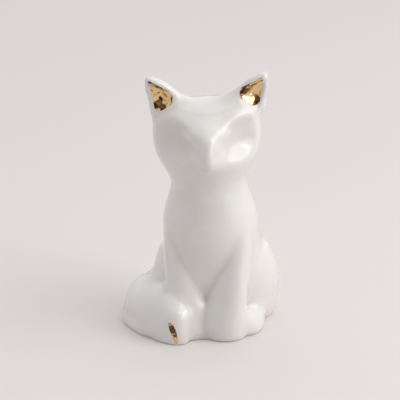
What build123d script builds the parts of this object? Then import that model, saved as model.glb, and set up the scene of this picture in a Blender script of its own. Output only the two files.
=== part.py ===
from build123d import *
import os
from math import cos, pi, sin

# A seated cat in glazed porcelain, 70 mm tall, with gilded ears and a gilded tail tip.
# It is made in sections that are cast or pressed apart, joined with slip and fired as one.
# Front is -Y, the cat's left is +X. Lengths are in millimetres, and angles in degrees.

os.makedirs("parts", exist_ok=True)

# Body casting: hollow, from the foot ring to the neck seam
body_height = 41.0
body_half_width = 12.9
body_front = 13.0
body_back = 16.5
body_wall = 2.8
floor_thickness = 2.8
foot_ring_width = 2.6
foot_recess = 0.6
vent_radius = 1.8
neck_radius = 9.7

# Head casting: hollow, from the neck seam to the crown, turned a little to the cat's left
head_height = 21.6
head_half_width = 14.4
face_reach = 14.0
head_back = 12.0
head_wall = 2.6
head_turn = 10.0
snout_reach = 17.0
snout_half_width = 6.5
eye_dish_radius = 20.0
eye_dish_depth = 3.9
eye_dish_bearing = 38.0

# Snout: its half height as a share of the head's height
snout_half_height_share = 0.4167

# Eye dishes: their half height and the height of their middle as shares of the head's height
eye_dish_half_height_share = 0.648
eye_dish_middle_share = 0.6945

# Ears: pressed solid, each with a hollow front, rooted at a share of the head's height
ear_root_share = 0.6945
ear_height = 14.0
ear_spread = 16.1
ear_half_width = 7.1
ear_half_depth = 3.5
ear_lean = 2.5

# Forelegs: pressed solid, meeting between the paws
leg_height = 31.0
leg_half_width = 5.8
leg_half_depth = 5.0

# Haunches: pressed solid, each with its hind paw
haunch_half_width = 8.3
haunch_half_length = 11.5
haunch_height = 23.5
haunch_spread = 9.2
haunch_middle_height = 9.0
haunch_setback = 4.5
hind_paw_half_width = 4.2
hind_paw_half_length = 7.0
hind_paw_height = 6.0

# Tail: pressed solid, lying round the cat's right side on a path about the body's axis
tail_path_radius = 20.0
tail_half_width = 9.0
tail_height = 12.8

# Gilding: a burnished layer in each ear and over the edge of the tail's tip
ear_gilding_thickness = 0.3
tail_gilding_depth = 0.5

# Points round each oval section
oval_points = 16

# Overrun of every cutting form past what it cuts
overrun = 1.0

# Sections as shares of the casting's height, half width, front reach and back reach
body_section_shares = [
    (0.00, 0.80, 0.66, 0.90),
    (0.15, 0.92, 0.78, 1.00),
    (0.34, 0.98, 0.90, 1.00),
    (0.54, 1.00, 0.97, 0.91),
    (0.71, 1.00, 1.00, 0.76),
    (0.86, 0.90, 0.92, 0.64),
]
head_section_shares = [
    (0.10, 0.77, 0.86, 0.84),
    (0.20, 0.86, 0.94, 0.92),
    (0.32, 0.94, 1.00, 0.98),
    (0.50, 1.00, 1.00, 1.00),
    (0.66, 1.00, 0.95, 0.98),
    (0.80, 0.96, 0.86, 0.92),
    (0.92, 0.82, 0.68, 0.78),
    (0.98, 0.52, 0.42, 0.50),
]

# Snout sections: shares of its reach, half width and half height, and the height of its
# middle as a share of the head's
snout_section_shares = [
    (0.00, 1.00, 1.00, 0.50),
    (0.65, 0.80, 0.82, 0.53),
    (0.88, 0.40, 0.46, 0.47),
    (1.00, 0.14, 0.14, 0.43),
]

# Ear sections: shares of its height, of the spread of its tip, and of its half width and depth
ear_section_shares = [
    (0.00, 0.455, 1.00, 1.00),
    (0.21, 0.480, 1.00, 0.97),
    (0.43, 0.525, 0.96, 0.86),
    (0.61, 0.635, 0.77, 0.70),
    (0.74, 0.745, 0.57, 0.61),
    (0.86, 0.825, 0.39, 0.52),
    (0.96, 0.920, 0.17, 0.36),
    (1.00, 0.945, 0.06, 0.17),
]

# Corners of the ear's hollow: shares of the tip's spread and of the ear's height
ear_hollow_corner_shares = [(1.00, 1.02), (0.47, 0.60), (0.84, 0.27)]
ear_hollow_rounding_share = 0.08

# Floor of the ear's hollow, in front of the head's middle: shares of the half depth and lean
ear_hollow_floor_shares = (0.32, 0.35)

# Foreleg sections: shares of its height, of the body's half width and front reach for its
# middle, and of the leg's half width and half depth
leg_section_shares = [
    (0.00, 0.40, 0.94, 0.94, 0.96),
    (0.08, 0.40, 0.98, 1.00, 1.00),
    (0.22, 0.42, 0.94, 0.98, 0.85),
    (0.45, 0.52, 0.78, 0.80, 0.85),
    (0.65, 0.62, 0.58, 0.65, 0.90),
    (0.85, 0.69, 0.42, 0.52, 0.80),
    (1.00, 0.69, 0.32, 0.36, 0.45),
]

# Middle of the hind paw, as shares of the haunch's spread and half length
hind_paw_place_shares = (1.18, 0.58)
hind_paw_middle_share = 0.36

# Tail sections: bearing from +X, then shares of the path radius, half width and height
tail_section_shares = [
    (110, 0.56, 0.60, 0.65),
    (140, 0.80, 0.84, 0.82),
    (170, 0.88, 0.97, 0.86),
    (195, 0.82, 0.93, 0.90),
    (218, 0.79, 0.80, 0.98),
    (238, 0.82, 0.68, 0.99),
    (251, 0.88, 0.48, 0.78),
    (257, 0.89, 0.24, 0.48),
]
tail_middle_share = 0.25

# Brush mark at the last tail section but one: its middle and halves as shares of the tail's
# height and half width
tail_mark_middle_share = 0.25
tail_mark_half_height_share = 0.22
tail_mark_half_width_share = 0.14


def egg(z, half_width, front, back):
    """A level section: half an ellipse towards the front and half towards the back."""
    front_half = EllipticalCenterArc((0, 0), half_width, front, start_angle=180, arc_size=180)
    back_half = EllipticalCenterArc((0, 0), half_width, back, start_angle=0, arc_size=180)
    return Pos(0, 0, z) * make_face([front_half, back_half])


def oval(half_width, half_depth):
    """A level ellipse in one closed curve that starts at +X, so that lofted ones don't twist."""
    turns = [2 * pi * step / oval_points for step in range(oval_points)]
    points = [(half_width * cos(turn), half_depth * sin(turn)) for turn in turns]
    return make_face(Spline(points, periodic=True))


def ellipsoid(half_width, half_length, half_height):
    return scale(Sphere(1), by=(half_width, half_length, half_height))


def above_floor(form):
    return split(form, bisect_by=Plane.XY, keep=Keep.TOP)


def seated(form, *neighbours):
    """A pressed form cut to the faces that it is luted to, without its offcuts."""
    for neighbour in neighbours:
        form = form - neighbour
    return max(form.solids(), key=lambda solid: solid.volume)


def casting(shares, lowest, highest, half_width, front, back, inset=0):
    """Level sections between the lowest and the highest, drawn in all round by the inset."""
    return [
        egg(lowest + (highest - lowest) * z, half_width * w - inset, front * f - inset, back * b - inset)
        for z, w, f, b in shares
    ]


def neck_seam(z, inset=0):
    return egg(z, *[neck_radius - inset] * 3)


def body_form(inset=0, lowest=0):
    sizes = (body_half_width, body_front, body_back)
    sections = casting(body_section_shares, lowest, body_height, *sizes, inset)
    return loft(sections + [neck_seam(body_height, inset)])


def head_form(inset=0):
    sizes = (head_half_width, face_reach, head_back)
    highest = head_height - inset
    sections = casting(head_section_shares, 0, highest, *sizes, inset)
    return loft([neck_seam(0, inset)] + sections + [Vertex(0, 0, highest)])


def snout_form():
    half_height = head_height * snout_half_height_share
    sections = [
        Plane((0, -snout_reach * reach, head_height * middle), x_dir=(1, 0, 0), z_dir=(0, -1, 0))
        * oval(snout_half_width * w, half_height * h)
        for reach, w, h, middle in snout_section_shares
    ]
    return loft(sections)


def eye_dishes(growth=0):
    """The cutters of the two hollow eyes: ellipsoids that dip into the cheeks from the front."""
    reach = face_reach + eye_dish_radius - eye_dish_depth
    half_height = head_height * eye_dish_half_height_share
    hollow = ellipsoid(eye_dish_radius + growth, eye_dish_radius + growth, half_height + growth)
    middle = Pos(0, -reach, head_height * eye_dish_middle_share)
    return [Rot(0, 0, side * eye_dish_bearing) * middle * hollow for side in (1, -1)]


def head_outside():
    return head_form() + snout_form() - eye_dishes()


def make_body():
    _, w, f, b = body_section_shares[0]
    ring = (body_half_width * w, body_front * f, body_back * b)
    recess = extrude(egg(-overrun, *[size - foot_ring_width for size in ring]), foot_recess + overrun)
    vent = extrude(Circle(vent_radius), floor_thickness + overrun)
    return body_form() - body_form(body_wall, floor_thickness) - recess - vent


def ear_form():
    root = head_height * ear_root_share
    sections = [
        Pos(ear_spread * x, -ear_lean * z, root + ear_height * z) * oval(ear_half_width * w, ear_half_depth * d)
        for z, x, w, d in ear_section_shares
    ]
    return loft(sections)


def ear_hollow(lift=0):
    """The rounded triangle sunk into the left ear, from a lift over its floor forwards."""
    root = head_height * ear_root_share
    corners = [(ear_spread * x, root + ear_height * z) for x, z in ear_hollow_corner_shares]
    triangle = Polygon(*corners, align=None)
    triangle = fillet(triangle.vertices(), ear_spread * ear_hollow_rounding_share)
    depth_share, lean_share = ear_hollow_floor_shares
    floor = ear_half_depth * depth_share + ear_lean * lean_share + lift
    level = Plane((0, -floor, 0), x_dir=(1, 0, 0), z_dir=(0, -1, 0))
    return extrude(level * triangle, ear_half_depth + ear_lean)


def leg_form():
    sections = [
        Pos(body_half_width * x, -body_front * y, leg_height * z)
        * oval(leg_half_width * w, leg_half_depth * d)
        for z, x, y, w, d in leg_section_shares
    ]
    return split(loft(sections), bisect_by=Plane.YZ, keep=Keep.TOP)


def haunch_form():
    haunch = Pos(haunch_spread, haunch_setback, haunch_middle_height) * ellipsoid(
        haunch_half_width, haunch_half_length, haunch_height - haunch_middle_height
    )
    x, y = hind_paw_place_shares
    middle = hind_paw_height * hind_paw_middle_share
    paw = Pos(haunch_spread * x, -haunch_half_length * y, middle) * ellipsoid(
        hind_paw_half_width, hind_paw_half_length, hind_paw_height - middle
    )
    return above_floor(haunch + paw)


def tail_form():
    sections = []
    for bearing, radius, width, height in tail_section_shares:
        middle = tail_height * tail_middle_share * height
        radial = Rot(0, 0, bearing) * Pos(tail_path_radius * radius, 0, middle) * Rot(90, 0, 0)
        sections.append(radial * oval(tail_half_width * width, tail_height * height - middle))
    return above_floor(loft(sections, ruled=True))


def tail_mark():
    """The oval cutter of the gilded mark, square to the tail's outer side at its tip."""
    bearing, radius, width, _ = tail_section_shares[-2]
    outside = tail_path_radius * radius + tail_half_width * width
    face = Rot(0, 0, bearing) * Pos(outside - tail_gilding_depth, 0, tail_height * tail_mark_middle_share)
    outline = oval(tail_height * tail_mark_half_height_share, tail_half_width * tail_mark_half_width_share)
    return extrude(face * Rot(0, 90, 0) * outline, tail_gilding_depth + overrun)


def standing(parts):
    """All the parts, moved so that the middle of the whole cat's foot is at the origin."""
    box = Compound(list(parts.values())).bounding_box()
    middle = Pos(-(box.min.X + box.max.X) / 2, -(box.min.Y + box.max.Y) / 2, -box.min.Z)
    return {name: middle * part for name, part in parts.items()}


def main():
    on_neck = Pos(0, 0, body_height) * Rot(0, 0, head_turn)
    body, head, haunch, leg = body_form(), head_outside(), haunch_form(), leg_form()
    right_haunch, right_leg = mirror(haunch, Plane.YZ), mirror(leg, Plane.YZ)
    cavity = head_form(head_wall) - eye_dishes(head_wall)
    ear = seated(ear_form(), head)
    left_ear = seated(ear, ear_hollow())
    left_gilding = seated(ear & ear_hollow(), ear_hollow(ear_gilding_thickness))
    tail = seated(tail_form(), right_haunch, right_leg, body)
    parts = {
        "body_shell": make_body(),
        "head_shell": on_neck * (head - cavity),
        "left_ear": on_neck * left_ear,
        "right_ear": on_neck * mirror(left_ear, Plane.YZ),
        "left_haunch": seated(haunch, body),
        "right_haunch": seated(right_haunch, body),
        "left_foreleg": seated(leg, body, haunch),
        "right_foreleg": seated(right_leg, body, right_haunch),
        "tail": seated(tail, tail_mark()),
        "left_ear_gilding": on_neck * left_gilding,
        "right_ear_gilding": on_neck * mirror(left_gilding, Plane.YZ),
        "tail_tip_gilding": tail & tail_mark(),
    }
    for name, part in standing(parts).items():
        export_step(part, f"parts/{name}.step")


main()
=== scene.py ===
from math import cos, radians, sin

import bmesh
import bpy
import numpy as np
from mathutils import Matrix, Vector


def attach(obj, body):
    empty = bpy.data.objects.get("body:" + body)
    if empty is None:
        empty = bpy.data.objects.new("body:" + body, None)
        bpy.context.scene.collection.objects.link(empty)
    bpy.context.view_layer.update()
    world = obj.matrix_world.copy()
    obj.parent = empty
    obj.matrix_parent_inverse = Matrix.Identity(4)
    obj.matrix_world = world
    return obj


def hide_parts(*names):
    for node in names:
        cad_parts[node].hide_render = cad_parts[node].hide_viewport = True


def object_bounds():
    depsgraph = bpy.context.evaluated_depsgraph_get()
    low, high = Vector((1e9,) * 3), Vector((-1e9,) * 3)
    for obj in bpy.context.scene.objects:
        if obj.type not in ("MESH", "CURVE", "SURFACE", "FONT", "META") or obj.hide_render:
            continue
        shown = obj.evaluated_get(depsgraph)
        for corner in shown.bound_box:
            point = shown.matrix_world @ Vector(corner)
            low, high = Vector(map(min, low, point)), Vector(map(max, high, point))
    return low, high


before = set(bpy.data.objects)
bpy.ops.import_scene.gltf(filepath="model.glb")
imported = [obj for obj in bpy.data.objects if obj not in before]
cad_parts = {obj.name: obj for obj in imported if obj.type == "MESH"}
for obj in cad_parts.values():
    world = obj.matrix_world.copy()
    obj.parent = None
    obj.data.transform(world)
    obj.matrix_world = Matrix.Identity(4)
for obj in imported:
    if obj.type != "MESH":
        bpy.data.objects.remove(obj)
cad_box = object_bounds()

bl_info = {
    "name": "Seated Cat Ornament",
    "version": (1, 0, 0),
    "blender": (4, 5, 0),
    "location": "View3D > Sidebar > Ornament",
    "description": "A small seated cat in glazed white porcelain with gilded ears and tail tip",
    "category": "Add Mesh",
}

MM = 0.001

# Sections of the porcelain body that lie under one glaze
PORCELAIN = [
    "body_shell", "head_shell", "left_ear", "right_ear", "left_foreleg", "right_foreleg",
    "left_haunch", "right_haunch", "tail",
]

# Swellings under the glaze that soften the pressed forms: the middle from the foot's middle,
# then the half width, half length and half height, in millimetres, and whether it turns with the head
SWELLINGS = [
    ((0.0, -7.0, 56.8), (6.4, 7.0, 4.2), True),
    ((0.0, -8.8, 53.4), (3.7, 6.9, 6.0), True),
    ((0.0, -7.4, 49.5), (5.6, 8.4, 5.6), True),
    ((0.0, -9.6, 1.0), (5.0, 6.2, 7.6), False),
    ((0.0, -5.4, 40.6), (7.4, 6.1, 5.4), False),
    ((0.0, 3.2, 40.5), (9.6, 7.6, 8.0), False),
    ((0.0, 8.0, 5.0), (12.0, 9.2, 9.0), False),
]

# Places where the luted seams hardly show: the middle from the foot's middle and the reach, in
# millimetres, and how fully the glaze levels them
SMOOTH_PLACES = [
    ((12.0, -8.0, 5.0), 11.0, 0.8),
    ((10.5, -6.0, 15.0), 10.0, 0.7),
    ((-10.5, -7.0, 14.0), 9.0, 0.6),
    ((0.0, 3.0, 61.0), 15.0, 1.0),
    ((10.0, 14.0, 8.0), 13.0, 0.8),
    ((-10.0, 14.0, 8.0), 13.0, 0.8),
    ((0.0, 16.0, 22.0), 12.0, 0.8),
    ((2.2, -13.5, 55.5), 8.0, 0.35),
    ((-14.5, -2.0, 11.0), 8.0, 0.6),
]

# Plug that closes the foot while the skin is made: its half width, its reach to the front and to the
# back, and its height, in millimetres
PLUG = (9.0, 7.0, 13.0, 2.0)

# Thumbed hollow in front of each ear, seen square to the head: the middle on the cat's left and the
# half width, half length and half height, and how deep it is pressed, in millimetres
EAR_HOLLOW_MIDDLE = (12.4, -2.0, 64.6)
EAR_HOLLOW_HALVES = (3.6, 3.0, 4.6)
EAR_HOLLOW_DEPTH = 0.9

# How far the brow is pressed down, how far ahead of the head's middle, and how far the tail's foot is
# drawn out and the ears are drawn to the cat's left, in millimetres
BROW_DEPTH = 1.5
BROW_REACH = 11.5
TAIL_FLARE = 1.1
EAR_DRIFT = 0.5

# Thickness of the glaze, and how much more there is on the ears, in millimetres
GLAZE_THICKNESS = 0.12
EAR_GLAZE = 0.14

# Depth of glaze in a crease that shows its full colour, in millimetres
FULL_POOL = 0.8

# Corners of the gold in each ear, seen square to the ear: across from the head's middle and
# above the foot, in millimetres, in order round the outline
EAR_LEAF_CORNERS = {
    "left": [(15.3, 69.3), (14.2, 61.6), (12.3, 61.2), (8.9, 64.0), (9.2, 66.1)],
    "right": [(-15.0, 69.6), (-8.5, 65.4), (-8.7, 62.9), (-12.0, 60.8), (-13.4, 60.9)],
}

# Corners of the gold brush mark on the tail's tip, seen from the front: across from the foot's
# middle and above the foot, in millimetres
TAIL_LEAF_CORNERS = [
    (-9.1, 6.3), (-8.5, 6.6), (-7.8, 5.7), (-7.2, 4.4), (-6.7, 2.8), (-6.5, 0.9), (-6.9, 0.45),
    (-7.4, 1.0), (-8.1, 2.4), (-8.7, 4.0), (-9.1, 5.3),
]

# Rounding of the gold's corners, and how far behind the front of its plane the gold may start
EAR_LEAF_ROUNDING = 0.9
EAR_LEAF_FRONT = 0.5
TAIL_LEAF_ROUNDING = 0.12
TAIL_LEAF_FRONT = 12

# Lights: the name, the place in metres, the size in metres, the power in watts and the colour
LIGHTS = [
    ("window", (0.58, -0.10, 0.44), 0.60, 1.95, (1.0, 0.99, 0.975)),
    ("lamp", (0.53, -0.17, 0.28), 0.034, 0.14, (1.0, 1.0, 1.0)),
]

# Ways from the cat to the darker parts of the room: behind the camera, and to the cat's right
DARK_NEAR_WAY = (0.22, -0.95, 0.0)
DARK_SIDE_WAY = (-0.90, -0.30, 0.0)
ROOM_LIGHT = 0.88

# Width of the picture, and where the middle of the cat's height lies in it, in pixels
PICTURE = 400
CAT_ACROSS = 209.7
CAT_DOWN = 197
SENSOR = 36

FLOOR_HALF_WIDTH = 3


def neck_axis():
    """The middle of the seam on top of the body casting, which the head is turned about."""
    vertices = np.array([v.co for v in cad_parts["body_shell"].data.vertices])
    top = vertices[vertices[:, 2] > vertices[:, 2].max() - 0.01 * MM]
    middle = (top.min(0) + top.max(0)) / 2
    return Vector((middle[0], middle[1], middle[2]))


NECK = neck_axis()
HEAD_TURN = radians(10)
AXIS = np.array([NECK.x, NECK.y, 0])
CAT_HEIGHT = cad_box[1][2]


# Properties


class GlazeProperties(bpy.types.PropertyGroup):
    colour: bpy.props.FloatVectorProperty(
        name="Glaze Colour", description="Colour of the glazed porcelain",
        subtype="COLOR", size=3, min=0, max=1, default=(0.875, 0.86, 0.845))
    pool_colour: bpy.props.FloatVectorProperty(
        name="Pooled Glaze", description="Colour where the glaze gathers in the creases",
        subtype="COLOR", size=3, min=0, max=1, default=(0.70, 0.67, 0.64))
    bisque_colour: bpy.props.FloatVectorProperty(
        name="Bare Foot", description="Colour of the unglazed clay under the foot",
        subtype="COLOR", size=3, min=0, max=1, default=(0.80, 0.77, 0.73))
    voxel: bpy.props.FloatProperty(
        name="Surface Grain", description="Mesh size of the glazed surface",
        subtype="DISTANCE", unit="LENGTH", min=0.0002, max=0.002, default=0.36 * MM)
    flow: bpy.props.IntProperty(
        name="Glaze Flow", description="How far the glaze has rounded the edges and filled the seams",
        min=0, max=200, default=90)
    vent_radius: bpy.props.FloatProperty(
        name="Vent Radius", description="Radius of the drain hole in the foot",
        subtype="DISTANCE", unit="LENGTH", default=1.8 * MM)
    vent_depth: bpy.props.FloatProperty(
        name="Vent Depth", description="Depth of the drain hole that can be seen into",
        subtype="DISTANCE", unit="LENGTH", default=6.0 * MM)
    foot_recess: bpy.props.FloatProperty(
        name="Foot Recess", description="Depth of the foot's middle above its ring",
        subtype="DISTANCE", unit="LENGTH", default=0.6 * MM)
    foot_half_width: bpy.props.FloatProperty(
        name="Foot Half Width", description="Half the width of the foot's ring",
        subtype="DISTANCE", unit="LENGTH", default=10.3 * MM)
    foot_front: bpy.props.FloatProperty(
        name="Foot Front", description="How far the foot's ring reaches to the front",
        subtype="DISTANCE", unit="LENGTH", default=8.6 * MM)
    foot_back: bpy.props.FloatProperty(
        name="Foot Back", description="How far the foot's ring reaches to the back",
        subtype="DISTANCE", unit="LENGTH", default=14.8 * MM)
    foot_ring_width: bpy.props.FloatProperty(
        name="Foot Ring Width", description="Width of the ring that the cat stands on",
        subtype="DISTANCE", unit="LENGTH", default=2.6 * MM)


class GildingProperties(bpy.types.PropertyGroup):
    colour: bpy.props.FloatVectorProperty(
        name="Gold Colour", description="Colour of the burnished gold",
        subtype="COLOR", size=3, min=0, max=1, default=(0.91, 0.67, 0.36))
    thickness: bpy.props.FloatProperty(
        name="Gold Thickness", description="How far the gold stands over the glaze",
        subtype="DISTANCE", unit="LENGTH", default=0.05 * MM)


class StageProperties(bpy.types.PropertyGroup):
    floor_colour: bpy.props.FloatVectorProperty(
        name="Floor Colour", description="Colour of the table top",
        subtype="COLOR", size=3, min=0, max=1, default=(0.75, 0.725, 0.715))
    azimuth: bpy.props.FloatProperty(
        name="Camera Azimuth", description="Bearing of the camera towards the cat's left",
        subtype="ANGLE", default=radians(10))
    elevation: bpy.props.FloatProperty(
        name="Camera Elevation", description="Height of the camera over the horizon",
        subtype="ANGLE", default=radians(20))
    roll: bpy.props.FloatProperty(
        name="Camera Roll", description="Lean of the cat towards its right in the picture",
        subtype="ANGLE", default=radians(2.4))
    distance: bpy.props.FloatProperty(
        name="Camera Distance", description="From the camera to the middle of the cat",
        subtype="DISTANCE", unit="LENGTH", default=0.45)
    width: bpy.props.FloatProperty(
        name="Field Width", description="Width of what the camera sees at the cat",
        subtype="DISTANCE", unit="LENGTH", default=0.1081)


# Mesh helpers


def add_object(name, bm):
    """A new object with the bmesh's faces, turned outward."""
    bmesh.ops.recalc_face_normals(bm, faces=bm.faces)
    mesh = bpy.data.meshes.new(name)
    bm.to_mesh(mesh)
    bm.free()
    obj = bpy.data.objects.new(name, mesh)
    bpy.context.scene.collection.objects.link(obj)
    return obj


def apply_modifiers(obj):
    """Puts the result of the object's modifiers into its own mesh."""
    depsgraph = bpy.context.evaluated_depsgraph_get()
    mesh = bpy.data.meshes.new_from_object(obj.evaluated_get(depsgraph))
    obj.modifiers.clear()
    old, obj.data = obj.data, mesh
    bpy.data.meshes.remove(old)


def cut_away(obj, cutter):
    """Cuts the form of the cutter out of the object, and deletes the cutter."""
    cut = obj.modifiers.new("Cut", "BOOLEAN")
    cut.operation = "DIFFERENCE"
    cut.solver = "EXACT"
    cut.object = cutter
    apply_modifiers(obj)
    bpy.data.objects.remove(cutter)


def coordinates(mesh):
    """One row of x, y and z per vertex."""
    flat = np.zeros(len(mesh.vertices) * 3)
    mesh.vertices.foreach_get("co", flat)
    return flat.reshape(-1, 3)


def edge_ends(mesh):
    """One row of two vertex numbers per edge."""
    flat = np.zeros(len(mesh.edges) * 2, dtype=np.int64)
    mesh.edges.foreach_get("vertices", flat)
    return flat.reshape(-1, 2)


def neighbour_mean(values, ends):
    """Each vertex's mean over its neighbours."""
    count = len(values)
    start, end = np.concatenate([ends, ends[:, ::-1]]).T
    number = np.bincount(start, minlength=count).clip(1)
    columns = [np.bincount(start, values[end, k], minlength=count) / number for k in range(values.shape[1])]
    return np.stack(columns, 1)


def relax(points, ends, weight, rounds, rate=0.5):
    """Moves each vertex towards its neighbours' mean, as wet glaze levels itself."""
    for _ in range(rounds):
        points = points + (neighbour_mean(points, ends) - points) * (weight * rate)[:, None]
    return points


def place_vertices(mesh, points):
    mesh.vertices.foreach_set("co", points.ravel())
    mesh.update()


def fill(mesh, points, ends, rounds, rate=0.8):
    """Raises only the hollows, as glaze gathers in a crease, and returns how far each rose."""
    depth = np.zeros(len(points))
    normals = np.zeros(len(points) * 3)
    for _ in range(rounds):
        place_vertices(mesh, points)
        mesh.vertex_normals.foreach_get("vector", normals)
        normal = normals.reshape(-1, 3)
        lift = ((neighbour_mean(points, ends) - points) * normal).sum(1).clip(0) * rate
        points = points + normal * lift[:, None]
        depth += lift
    return points, depth


def largest_island(bm):
    """Deletes all but the largest connected surface, which is the outside of the cat."""
    bm.verts.ensure_lookup_table()
    island = np.full(len(bm.verts), -1)
    sizes = []
    for first in bm.verts:
        if island[first.index] >= 0:
            continue
        number, stack, size = len(sizes), [first], 0
        island[first.index] = number
        while stack:
            vertex = stack.pop()
            size += 1
            for edge in vertex.link_edges:
                other = edge.other_vert(vertex)
                if island[other.index] < 0:
                    island[other.index] = number
                    stack.append(other)
        sizes.append(size)
    keep = int(np.argmax(sizes))
    strays = [vertex for vertex in bm.verts if island[vertex.index] != keep]
    bmesh.ops.delete(bm, geom=strays, context="VERTS")


# Shader helpers


class Socket:
    """A shader socket that takes part in Python sums."""

    def __init__(self, tree, socket):
        self.tree = tree
        self.socket = socket

    def math(self, operation, other, swap=False):
        values = (other, self) if swap else (self, other)
        return self.tree.node("ShaderNodeMath", {"operation": operation}, {0: values[0], 1: values[1]})

    def __add__(self, other):
        return self.math("ADD", other)

    def __radd__(self, other):
        return self.math("ADD", other, True)

    def __rsub__(self, other):
        return self.math("SUBTRACT", other, True)

    def __mul__(self, other):
        return self.math("MULTIPLY", other)

    def __lt__(self, other):
        return self.math("LESS_THAN", other)


class Nodes:
    """Builds a node tree from Python expressions."""

    def __init__(self, tree):
        self.tree = tree

    def node(self, kind, settings=None, inputs=None, output=0):
        """A node of that type with its settings, then its sockets' values or links."""
        node = self.tree.nodes.new(kind)
        for key, value in (settings or {}).items():
            setattr(node, key, value)
        for key, value in (inputs or {}).items():
            self.link(node.inputs[key], value)
        return Socket(self, node.outputs[output])

    def link(self, target, value):
        if isinstance(value, Socket):
            self.tree.links.new(value.socket, target)
        else:
            target.default_value = value

    def place(self):
        return self.node("ShaderNodeTexCoord", output="Object")

    def noise(self, scale, detail=2.0, roughness=0.5):
        inputs = {"Vector": self.place(), "Scale": scale, "Detail": detail, "Roughness": roughness}
        return self.node("ShaderNodeTexNoise", {}, inputs)

    def mix(self, factor, first, second):
        """The first colour at factor 0 and the second one at 1."""
        settings = {"data_type": "RGBA", "blend_type": "MIX"}
        return self.node("ShaderNodeMix", settings, {0: factor, 6: first, 7: second}, output=2)

    def bump(self, height, distance):
        return self.node("ShaderNodeBump", {}, {"Height": height, "Distance": distance, "Strength": 1.0})

    def towards(self, way, other):
        """How nearly a way points along another one, from 1 when it does to -1 when it points back."""
        settings = {"operation": "DOT_PRODUCT"}
        return self.node("ShaderNodeVectorMath", settings, {0: way, 1: other}, "Value")

    def ease(self, value, low, high):
        """A smooth step from 0 at the low value to 1 at the high one."""
        settings = {"interpolation_type": "SMOOTHSTEP"}
        return self.node("ShaderNodeMapRange", settings, {"Value": value, "From Min": low, "From Max": high})


class Material(Nodes):
    """A node material with a Principled surface."""

    def __init__(self, name):
        self.material = bpy.data.materials.new(name)
        self.material.use_nodes = True
        super().__init__(self.material.node_tree)
        self.surface = self.tree.nodes["Principled BSDF"]

    def set(self, **values):
        for name, value in values.items():
            self.link(self.surface.inputs[name.replace("_", " ")], value)


def rgba(colour):
    return (*colour, 1.0)


def glaze_material(glaze):
    """Clear glossy glaze over white porcelain, bare under the foot."""
    m = Material("glazed_porcelain")
    crease = m.node("ShaderNodeAttribute", {"attribute_name": "crease"}, output="Fac")
    tone = m.noise(110, 3)
    pooled = crease * 0.75 + tone * 0.08
    colour = m.mix(pooled, rgba(glaze.colour), rgba(glaze.pool_colour))
    height = m.node("ShaderNodeSeparateXYZ", {}, {0: m.place()}, output="Z")
    clay = m.noise(2600, 4)
    bare = height + clay * (0.10 * MM) < 0.28 * MM
    m.set(
        Base_Color=m.mix(bare, colour, rgba(glaze.bisque_colour)),
        Roughness=0.20 + tone * 0.05 + bare * 0.60,
        Specular_IOR_Level=0.5,
        Coat_Weight=0.9 - bare * 0.9,
        Coat_Roughness=0.02,
        IOR=1.5,
        Subsurface_Weight=0.12,
        Subsurface_Radius=(0.9 * MM, 0.75 * MM, 0.6 * MM),
        Subsurface_Scale=1.0,
        Normal=m.bump(m.noise(260, 2) + m.noise(900, 2) * 0.06, 0.035 * MM),
    )
    return m.material


def gold_material(gilding):
    """Burnished lustre gold with ripples, wear and painted dark reflections."""
    m = Material("burnished_gold")
    wear = m.noise(900, 5, 0.6)
    ripple = m.noise(330, 1.5, 0.4)
    worn = m.mix(wear * 0.5, rgba(gilding.colour), (0.72, 0.44, 0.19, 1))
    # Painted reflections: dark facets mixed into the gold's colour stand for the dark room behind the camera
    # mirrored in the gold
    painted_dark_reflections = m.ease(m.noise(285, 2.5, 0.5), 0.51, 0.58) * 0.9
    m.set(
        Base_Color=m.mix(painted_dark_reflections, worn, (0.10, 0.035, 0.012, 1)),
        Metallic=1.0,
        Roughness=0.10 + wear * 0.08,
        Normal=m.bump(ripple + wear * 0.02, 1.3 * MM),
    )
    return m.material


def floor_material(stage):
    """A pale matt table top."""
    m = Material("pale_table")
    tone = m.noise(6, 2) * 0.25
    seen = m.node("ShaderNodeLightPath", output="Is Camera Ray")
    m.set(
        Base_Color=m.mix(tone, rgba(stage.floor_colour), rgba([0.97 * c for c in stage.floor_colour])),
        Roughness=0.6,
        Specular_IOR_Level=0.2,
        Emission_Color=m.mix(seen, (0, 0, 0, 1), (0.07, 0.066, 0.067, 1)),
        Emission_Strength=1.0,
    )
    return m.material


def room():
    """A bright room whose near side, behind the camera, is darker."""
    world = bpy.data.worlds.new("room")
    world.use_nodes = True
    n = Nodes(world.node_tree)
    way = n.node("ShaderNodeTexCoord", output="Generated")
    behind_camera = n.ease(n.towards(way, DARK_NEAR_WAY), 0.35, 0.90) * 0.85
    beside = n.ease(n.towards(way, DARK_SIDE_WAY), -0.2, 1.0) * 0.24
    shade = behind_camera + beside
    colour = n.mix(shade, (1.0, 0.985, 0.975, 1), (0.07, 0.055, 0.05, 1))
    background = world.node_tree.nodes["Background"]
    n.link(background.inputs["Color"], colour)
    n.link(background.inputs["Strength"], ROOM_LIGHT)
    return world


# Porcelain


def add_mesh(bm, other):
    """Adds a bmesh to another one and frees it."""
    mesh = bpy.data.meshes.new("form")
    other.to_mesh(mesh)
    other.free()
    bm.from_mesh(mesh)
    bpy.data.meshes.remove(mesh)


def sections_mesh():
    """The CAD sections, each merged by itself, in one mesh."""
    bm = bmesh.new()
    for name in PORCELAIN:
        section = bmesh.new()
        section.from_mesh(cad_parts[name].data)
        bmesh.ops.remove_doubles(section, verts=section.verts, dist=0.001 * MM)
        add_mesh(bm, section)
    return bm


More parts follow.
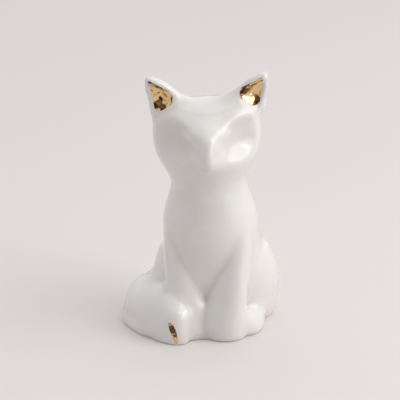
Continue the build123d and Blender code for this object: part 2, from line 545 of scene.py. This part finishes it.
def swelling(middle, halves, on_head):
    """An ellipsoid about the foot's middle, turned with the head if it lies on it."""
    bm = bmesh.new()
    bmesh.ops.create_uvsphere(bm, u_segments=32, v_segments=20, radius=MM)
    bmesh.ops.scale(bm, vec=halves, verts=bm.verts)
    bmesh.ops.translate(bm, vec=Vector(middle) * MM, verts=bm.verts)
    turn = Matrix.Rotation(HEAD_TURN if on_head else 0, 4, "Z")
    bmesh.ops.transform(bm, matrix=Matrix.Translation((NECK.x, NECK.y, 0)) @ turn, verts=bm.verts)
    return bm


def egg(half_width, front, back, bottom, top):
    """An upright egg-shaped block about the foot's middle."""
    bm = bmesh.new()
    bmesh.ops.create_circle(bm, cap_ends=True, segments=96, radius=1)
    for half, reach in ((-1, front), (1, back)):
        side = [v for v in bm.verts if v.co.y * half > 0]
        bmesh.ops.scale(bm, vec=(1, reach, 1), verts=side)
    bmesh.ops.scale(bm, vec=(half_width, 1, 1), verts=bm.verts)
    bmesh.ops.translate(bm, vec=(NECK.x, NECK.y, bottom), verts=bm.verts)
    cap = bmesh.ops.extrude_face_region(bm, geom=bm.faces[:])
    raised = [g for g in cap["geom"] if isinstance(g, bmesh.types.BMVert)]
    bmesh.ops.translate(bm, vec=(0, 0, top - bottom), verts=raised)
    return bm


def plugged_sections():
    """The sections and swellings, with the foot closed flat so that the outside is one surface."""
    bm = sections_mesh()
    for middle, halves, on_head in SWELLINGS:
        add_mesh(bm, swelling(middle, halves, on_head))
    half_width, front, back, height = PLUG
    add_mesh(bm, egg(half_width * MM, front * MM, back * MM, 0, height * MM))
    return bm


def remeshed(bm, voxel):
    """The outside of everything in the bmesh as one even mesh."""
    obj = add_object("porcelain_skin", bm)
    remesh = obj.modifiers.new("Remesh", "REMESH")
    remesh.mode = "VOXEL"
    remesh.voxel_size = voxel
    apply_modifiers(obj)
    bm = bmesh.new()
    bm.from_mesh(obj.data)
    largest_island(bm)
    bm.to_mesh(obj.data)
    bm.free()
    return obj


def rise(values, low, high):
    """0 below the low value and 1 above the high one, with a smooth step between."""
    share = ((values - low) / (high - low)).clip(0, 1)
    return share * share * (3 - 2 * share)


def ear_share(points):
    """1 on the ears and 0 elsewhere."""
    place = (points - AXIS) / MM
    return rise(place[:, 2], 57, 61) * rise(np.abs(place[:, 0]), 5, 9)


def softness(points):
    """How freely each place of the skin levels: the ears and the foot's edge keep their shape."""
    foot = rise(points[:, 2] / MM, 0.0, 3.0)
    return (1 - 0.90 * ear_share(points)) * (0.06 + 0.94 * foot)


def tail_share(points):
    """1 on the tail, which is pressed in sections, and 0 elsewhere."""
    place = (points - AXIS) / MM
    outside = rise(-place[:, 0] - 0.55 * place[:, 1], 8, 13)
    return outside * (1 - rise(place[:, 2], 10, 15)) * (0.10 + 0.90 * rise(place[:, 2], 0.0, 2.5))


def crown_share(points):
    """1 on top of the head between the ears, and 0 elsewhere."""
    place = (points - AXIS) / MM
    return rise(place[:, 2], 56, 60) * (1 - rise(np.hypot(place[:, 0], place[:, 1]), 9, 13))


def seam_share(points):
    """1 where the seams hardly show under the glaze: the neck, the sides of the legs, the hind paws."""
    place = (points - AXIS) / MM
    share = rise(place[:, 2], 31, 37) * (1 - rise(place[:, 2], 44, 49))
    for middle, reach, most in SMOOTH_PLACES:
        away = np.linalg.norm(place - np.array(middle), axis=1)
        share = np.maximum(share, most * (1 - rise(away, 0.3 * reach, reach)))
    return share * (0.05 + 0.95 * rise(place[:, 2], 0.0, 3.0))


def pressed(points):
    """The skin with its ears' hollows and brow thumbed in, and the tail's foot flared over the table."""
    place = (points - AXIS) / MM
    turn = np.array(Matrix.Rotation(-HEAD_TURN, 3, "Z"))
    on_head = place @ turn.T
    for side in (1, -1):
        middle = np.array(EAR_HOLLOW_MIDDLE) * (side, 1, 1)
        away = np.linalg.norm((on_head - middle) / EAR_HOLLOW_HALVES, axis=1)
        on_head[:, 1] += EAR_HOLLOW_DEPTH * (1 - rise(away, 0.0, 1.0))
    brow = (1 - rise(np.abs(on_head[:, 1] + BROW_REACH), 1, 9)) * (1 - rise(np.abs(on_head[:, 0]), 3, 11))
    on_head[:, 2] -= BROW_DEPTH * brow * rise(on_head[:, 2], 54, 60)
    place = on_head @ turn
    outward = place[:, :2] / np.hypot(place[:, 0], place[:, 1]).clip(0.001)[:, None]
    flare = rise(-place[:, 0], 14, 21) * (1 - rise(place[:, 2], 0.2, 3.6))
    place[:, :2] += outward * (TAIL_FLARE * flare)[:, None]
    place[:, 0] += EAR_DRIFT * ear_share(points)
    return place * MM + AXIS


def swollen(mesh, points, amount):
    """The skin raised all over by the glaze's own thickness."""
    normals = np.zeros(len(points) * 3)
    mesh.vertex_normals.foreach_get("vector", normals)
    return points + normals.reshape(-1, 3) * amount[:, None]


# How the glaze levels: where, and in how many rounds
LEVELLING = [(softness, 60), (tail_share, 60), (crown_share, 60), (seam_share, 200)]
FIRST_ROUNDS = 3


class ORNAMENT_OT_porcelain(bpy.types.Operator):
    """Joins the cast and pressed sections under one glazed skin"""

    bl_idname = "ornament.porcelain"
    bl_label = "Glazed Porcelain"

    def execute(self, context):
        glaze = context.scene.ornament_glaze
        skin = remeshed(plugged_sections(), glaze.voxel)
        mesh = skin.data
        ends = edge_ends(mesh)
        points = coordinates(mesh)
        points = relax(points, ends, np.ones(len(points)), FIRST_ROUNDS)
        points, depth = fill(mesh, points, ends, glaze.flow)
        for share, rounds in LEVELLING:
            points = relax(points, ends, share(points), rounds)
        points = pressed(points)
        place_vertices(mesh, points)
        points = swollen(mesh, points, (GLAZE_THICKNESS + EAR_GLAZE * ear_share(points)) * MM)
        points[:, 2] = points[:, 2].clip(0)
        low, high = [np.array(corner) for corner in cad_box]
        points = points.clip(low, high)
        place_vertices(mesh, points)
        crease = mesh.attributes.new("crease", "FLOAT", "POINT")
        pool = depth / (FULL_POOL * MM) * (1 - seam_share(points))
        crease.data.foreach_set("value", pool.clip(0, 1))
        ring = glaze.foot_ring_width
        sizes = (glaze.foot_half_width - ring, glaze.foot_front - ring, glaze.foot_back - ring)
        cut_away(skin, add_object("recess", egg(*sizes, -MM, glaze.foot_recess)))
        cut_away(skin, add_object("vent", egg(*[glaze.vent_radius] * 3, -MM, glaze.vent_depth)))
        mesh = skin.data
        mesh.polygons.foreach_set("use_smooth", [True] * len(mesh.polygons))
        mesh.materials.clear()
        mesh.materials.append(glaze_material(glaze))
        skin.name = "glazed_body"
        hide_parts(*PORCELAIN)
        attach(skin, "root")
        return {"FINISHED"}


def outline(corners, rounding):
    """The corners of a flat outline whose own corners are rounded."""
    bm = bmesh.new()
    bm.faces.new([bm.verts.new((x, z, 0)) for x, z in corners])
    bmesh.ops.bevel(
        bm, geom=bm.verts[:], offset=rounding, affect="VERTICES", segments=6, profile=0.5, material=-1)
    points = [vertex.co.xy.copy() for vertex in bm.faces[:][0].verts]
    bm.free()
    return points


def largest_patch(bm):
    """Deletes all but the largest set of faces that meet edge to edge."""
    bm.faces.index_update()
    seen, patches = set(), []
    for first in bm.faces:
        if first.index in seen:
            continue
        seen.add(first.index)
        stack, patch = [first], []
        while stack:
            face = stack.pop()
            patch.append(face)
            for other in [other for edge in face.edges for other in edge.link_faces]:
                if other.index not in seen:
                    seen.add(other.index)
                    stack.append(other)
        patches.append(patch)
    keep = max(patches, key=len)
    strays = [face for patch in patches if patch is not keep for face in patch]
    bmesh.ops.delete(bm, geom=strays, context="FACES")


def clean_patch(bm):
    """Leaves one patch of faces whose border never touches itself, so that it closes into a solid."""
    largest_patch(bm)
    while pinched := [v for v in bm.verts if sum(edge.is_boundary for edge in v.link_edges) > 2]:
        around = list(dict.fromkeys(face for vertex in pinched for face in vertex.link_faces))
        bmesh.ops.delete(bm, geom=around, context="FACES")
        largest_patch(bm)


def trim(bm, place, outward):
    """Cuts away what lies past a plane."""
    bmesh.ops.bisect_plane(
        bm, geom=bm.verts[:] + bm.edges[:] + bm.faces[:], dist=0.0002 * MM,
        plane_co=place, plane_no=outward, clear_outer=True)


def leaf(name, skin, points, matrix, gilding, material, front):
    """A patch of the skin inside an outline, raised a little and closed into a thin solid."""
    bm = bmesh.new()
    bm.from_mesh(skin.data)
    middle = sum(points, Vector((0, 0))) / len(points)
    reach = max((point - middle).length for point in points) + 1
    inverse = matrix.inverted()
    far = [v for v in bm.verts if ((inverse @ v.co).xy - middle).length > reach * 1.3]
    bmesh.ops.delete(bm, geom=far, context="VERTS")
    turn = matrix.to_3x3()
    ahead = (turn @ Vector((0, 0, 1))).normalized()
    bm.normal_update()
    turned = [face for face in bm.faces if face.normal.dot(ahead) < 0.05]
    bmesh.ops.delete(bm, geom=turned, context="FACES")
    for start, end in zip(points, points[1:] + points[:1]):
        edge = end - start
        normal = Vector((edge.y, -edge.x))
        if normal.dot(middle - start) > 0:
            normal = -normal
        trim(bm, matrix @ Vector((*start, 0)), (turn @ Vector((*normal, 0))).normalized())
    trim(bm, matrix @ Vector((0, 0, front)), -ahead)
    clean_patch(bm)
    bm.normal_update()
    for vertex in bm.verts:
        vertex.co += vertex.normal * gilding.thickness
    bmesh.ops.solidify(bm, geom=bm.faces[:], thickness=gilding.thickness * 4)
    obj = add_object(name, bm)
    obj.data.polygons.foreach_set("use_smooth", [True] * len(obj.data.polygons))
    obj.data.materials.append(material)
    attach(obj, "root")
    return obj


class ORNAMENT_OT_gilding(bpy.types.Operator):
    """Lays burnished gold in both ears and on the tip of the tail"""

    bl_idname = "ornament.gilding"
    bl_label = "Gold Leaf"

    def execute(self, context):
        gilding = context.scene.ornament_gilding
        skin = bpy.data.objects["glazed_body"]
        gold = gold_material(gilding)
        ear_plane = Matrix.Translation((NECK.x, NECK.y, 0)) @ Matrix.Rotation(HEAD_TURN, 4, "Z")
        ear_plane = ear_plane @ Matrix.Rotation(radians(90), 4, "X") @ Matrix.Scale(MM, 4)
        for side, corners in EAR_LEAF_CORNERS.items():
            points = outline(corners, EAR_LEAF_ROUNDING)
            obj = leaf(f"{side}_ear_gilding_leaf", skin, points, ear_plane, gilding, gold, EAR_LEAF_FRONT)
            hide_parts(f"{side}_ear_gilding")
        tail_plane = Matrix.Translation((NECK.x, NECK.y, 0)) @ Matrix.Rotation(radians(90), 4, "X")
        tail_plane = tail_plane @ Matrix.Scale(MM, 4)
        points = outline(TAIL_LEAF_CORNERS, TAIL_LEAF_ROUNDING)
        obj = leaf("tail_tip_gilding_leaf", skin, points, tail_plane, gilding, gold, TAIL_LEAF_FRONT)
        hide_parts("tail_tip_gilding")
        return {"FINISHED"}


class ORNAMENT_OT_stage(bpy.types.Operator):
    """Sets the table, the lights and the camera"""

    bl_idname = "ornament.stage"
    bl_label = "Table, Lights and Camera"

    def execute(self, context):
        stage = context.scene.ornament_stage
        bm = bmesh.new()
        bmesh.ops.create_grid(bm, x_segments=1, y_segments=1, size=FLOOR_HALF_WIDTH)
        floor = add_object("table", bm)
        floor.data.materials.append(floor_material(stage))
        for light in LIGHTS:
            self.light(*light)
        context.scene.world = room()
        context.scene.view_settings.view_transform = "Standard"
        self.camera(context, stage)
        return {"FINISHED"}

    def light(self, name, place, size, energy, colour):
        lamp = bpy.data.lights.new(name, "AREA")
        lamp.shape = "SQUARE"
        lamp.size = size
        lamp.energy = energy
        lamp.color = colour
        obj = bpy.data.objects.new(name, lamp)
        place = Vector(place)
        aim = Vector((NECK.x, NECK.y, CAT_HEIGHT / 2)) - place
        obj.matrix_world = Matrix.Translation(place) @ aim.to_track_quat("-Z", "Y").to_matrix().to_4x4()
        bpy.context.scene.collection.objects.link(obj)

    def camera(self, context, stage):
        a, e, q = stage.azimuth, stage.elevation, stage.roll
        right = Vector((cos(a), sin(a), 0))
        ahead = Vector((-sin(a) * cos(e), cos(a) * cos(e), -sin(e)))
        up = Vector((-sin(a) * sin(e), cos(a) * sin(e), cos(e)))
        rolled_right = right * cos(q) - up * sin(q)
        rolled_up = up * cos(q) + right * sin(q)
        lens = bpy.data.cameras.new("camera")
        lens.sensor_width = SENSOR
        lens.lens = SENSOR * stage.distance / stage.width
        lens.clip_start = 0.01
        lens.shift_x = -(CAT_ACROSS - PICTURE / 2) / PICTURE
        lens.shift_y = -(PICTURE / 2 - CAT_DOWN) / PICTURE
        camera = bpy.data.objects.new("camera", lens)
        target = Vector((NECK.x, NECK.y, CAT_HEIGHT / 2))
        turn = Matrix((rolled_right, rolled_up, -ahead)).transposed().to_4x4()
        camera.matrix_world = Matrix.Translation(target - ahead * stage.distance) @ turn
        context.scene.collection.objects.link(camera)
        context.scene.camera = camera


class ORNAMENT_PT_panel(bpy.types.Panel):
    """The ornament's pieces and stage"""

    bl_idname = "ORNAMENT_PT_panel"
    bl_label = "Cat Ornament"
    bl_space_type = "VIEW_3D"
    bl_region_type = "UI"
    bl_category = "Ornament"

    def draw(self, context):
        for operator in OPERATORS:
            self.layout.operator(operator.bl_idname)


PROPERTIES = {
    "ornament_glaze": GlazeProperties,
    "ornament_gilding": GildingProperties,
    "ornament_stage": StageProperties,
}
OPERATORS = [ORNAMENT_OT_porcelain, ORNAMENT_OT_gilding, ORNAMENT_OT_stage]


def register():
    for group in PROPERTIES.values():
        bpy.utils.register_class(group)
    for operator in OPERATORS + [ORNAMENT_PT_panel]:
        bpy.utils.register_class(operator)
    for name, group in PROPERTIES.items():
        setattr(bpy.types.Scene, name, bpy.props.PointerProperty(type=group))


def unregister():
    for name in PROPERTIES:
        delattr(bpy.types.Scene, name)
    for operator in [ORNAMENT_PT_panel] + OPERATORS[::-1]:
        bpy.utils.unregister_class(operator)
    for group in PROPERTIES.values():
        bpy.utils.unregister_class(group)


def main():
    register()
    bpy.ops.ornament.porcelain()
    bpy.ops.ornament.gilding()
    bpy.ops.ornament.stage()


if __name__ == "__main__":
    main()
